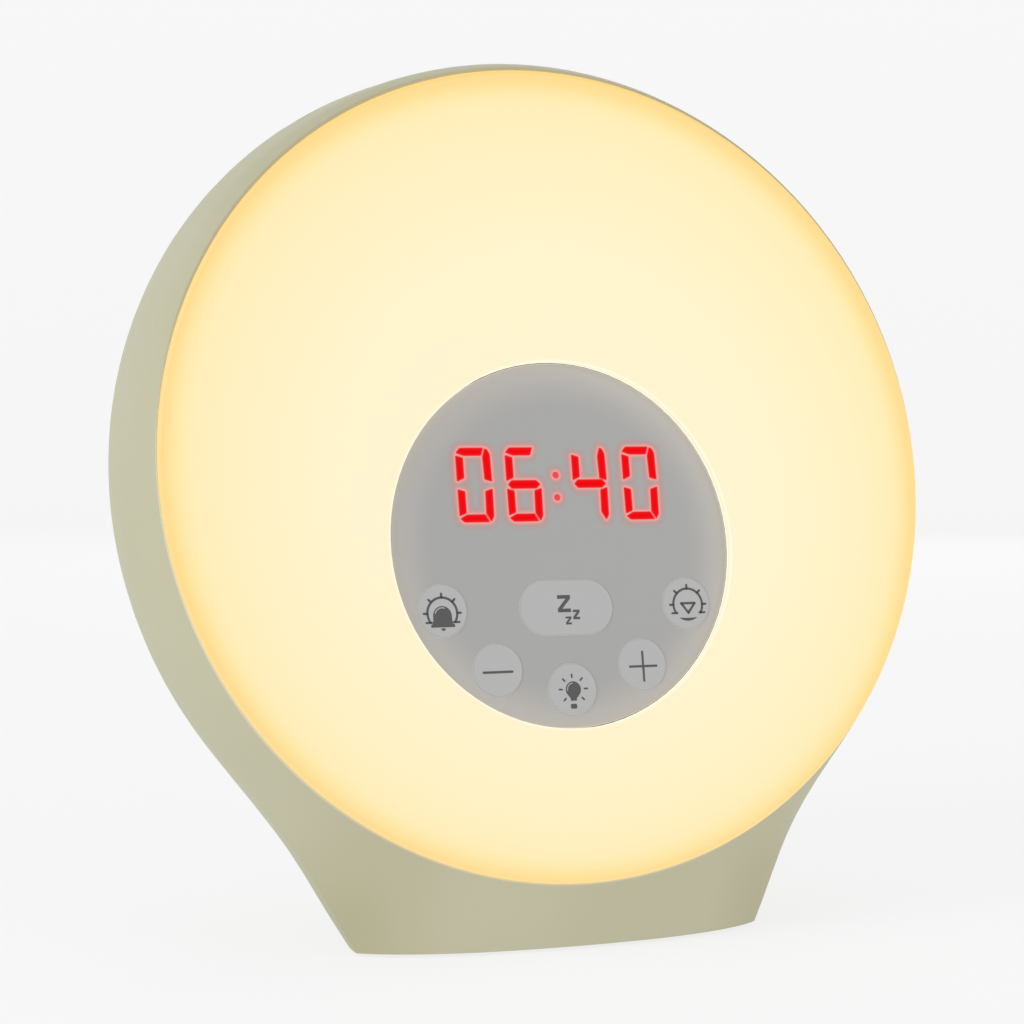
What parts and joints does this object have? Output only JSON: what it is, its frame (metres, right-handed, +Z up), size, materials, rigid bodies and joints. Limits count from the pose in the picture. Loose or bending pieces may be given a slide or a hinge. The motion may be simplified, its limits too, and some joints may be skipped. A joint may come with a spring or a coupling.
{
  "type": "sunrise alarm clock",
  "caption": "Bedside sunrise alarm clock: round lit face with a grey control panel, red digits and press keys, in a one-piece body with a flared foot.",
  "frame": {"origin": "middle of the object's box in plan, on the surface it stands on", "axes": "+X to the right seen from the front, -Y towards the viewer in front of the lit face, +Z up"},
  "size_m": [0.1848, 0.1064, 0.1912],
  "materials": {
    "housing_shell": "matte moulded, fine spark texture",
    "pad_rubber": "matte",
    "opal_diffuser": "opal, satin",
    "white_reflector": "matte white",
    "lamp_board": "white solder mask",
    "lamp_led": "phosphor in clear resin",
    "panel_lens": "satin grey, slightly translucent",
    "key_pad": "satin",
    "switch_plunger": "matte",
    "switch_body": "matte",
    "black_carrier": "matte",
    "circuit_board": "solder mask",
    "display_block": "gloss",
    "board_parts": "matte",
    "cell_steel": "brushed",
    "ribbon_film": "satin film",
    "connector_nylon": "matte",
    "speaker_foam": "closed-cell foam",
    "speaker_basket": "black zinc",
    "speaker_paper": "pressed paper",
    "magnet_ferrite": "dull ferrite and zinc plate",
    "inlet_body": "matte",
    "inlet_pin": "nickel plated",
    "inlet_nut": "nickel plated",
    "screw_steel": "zinc plated",
    "rear_key": "matte"
  },
  "bodies": {
    "housing": {"front_housing": "housing_shell", "rear_cover": "housing_shell", "rubber_pads": "pad_rubber", "front_diffuser": "opal_diffuser", "reflector_dish": "white_reflector", "lamp_board": "lamp_board", "lamp_leds": "lamp_led", "control_panel": "panel_lens", "key_switches": "switch_body", "panel_carrier": "black_carrier", "display_board": "circuit_board", "display_module": "display_block", "main_board": "circuit_board", "board_parts": "board_parts", "cell_holder": "black_carrier", "backup_cell": "cell_steel", "ribbon_cable": "ribbon_film", "ribbon_sockets": "connector_nylon", "speaker_gasket": "speaker_foam", "speaker_frame": "speaker_basket", "speaker_cone": "speaker_paper", "speaker_magnet": "magnet_ferrite", "rear_switches": "switch_body", "rear_board": "circuit_board", "power_inlet": "inlet_body", "inlet_pin": "inlet_pin", "inlet_nut": "inlet_nut", "case_screws": "screw_steel", "lamp_screws": "screw_steel", "board_screws": "screw_steel", "rear_screws": "screw_steel"},
    "alarm_key": {"alarm_key": "key_pad", "alarm_plunger": "switch_plunger"},
    "sunset_key": {"sunset_key": "key_pad", "sunset_plunger": "switch_plunger"},
    "minus_key": {"minus_key": "key_pad", "minus_plunger": "switch_plunger"},
    "plus_key": {"plus_key": "key_pad", "plus_plunger": "switch_plunger"},
    "light_key": {"light_key": "key_pad", "light_plunger": "switch_plunger"},
    "snooze_key": {"snooze_key": "key_pad", "snooze_plunger": "switch_plunger"},
    "clock_set_key": {"clock_set_key": "rear_key", "clock_set_plunger": "switch_plunger"},
    "alarm_set_key": {"alarm_set_key": "rear_key", "alarm_set_plunger": "switch_plunger"},
    "sound_key": {"sound_key": "rear_key", "sound_plunger": "switch_plunger"}
  },
  "joints": [
    {"name": "alarm_key_press", "type": "slide", "parent": "housing", "child": "alarm_key", "axis": [0, 0.9825, -0.1865], "range_m": [0, 0.0005], "stiffness_N_per_m": 600},
    {"name": "sunset_key_press", "type": "slide", "parent": "housing", "child": "sunset_key", "axis": [0, 0.9825, -0.1865], "range_m": [0, 0.0005], "stiffness_N_per_m": 600},
    {"name": "minus_key_press", "type": "slide", "parent": "housing", "child": "minus_key", "axis": [0, 0.9825, -0.1865], "range_m": [0, 0.0005], "stiffness_N_per_m": 600},
    {"name": "plus_key_press", "type": "slide", "parent": "housing", "child": "plus_key", "axis": [0, 0.9825, -0.1865], "range_m": [0, 0.0005], "stiffness_N_per_m": 600},
    {"name": "light_key_press", "type": "slide", "parent": "housing", "child": "light_key", "axis": [0, 0.9825, -0.1865], "range_m": [0, 0.0005], "stiffness_N_per_m": 600},
    {"name": "snooze_key_press", "type": "slide", "parent": "housing", "child": "snooze_key", "axis": [0, 0.9825, -0.1865], "range_m": [0, 0.0005], "stiffness_N_per_m": 600},
    {"name": "clock_set_key_press", "type": "slide", "parent": "housing", "child": "clock_set_key", "axis": [0, -0.9825, 0.1865], "range_m": [0, 0.0006], "stiffness_N_per_m": 600},
    {"name": "alarm_set_key_press", "type": "slide", "parent": "housing", "child": "alarm_set_key", "axis": [0, -0.9825, 0.1865], "range_m": [0, 0.0006], "stiffness_N_per_m": 600},
    {"name": "sound_key_press", "type": "slide", "parent": "housing", "child": "sound_key", "axis": [0, -0.9825, 0.1865], "range_m": [0, 0.0006], "stiffness_N_per_m": 600}
  ]
}
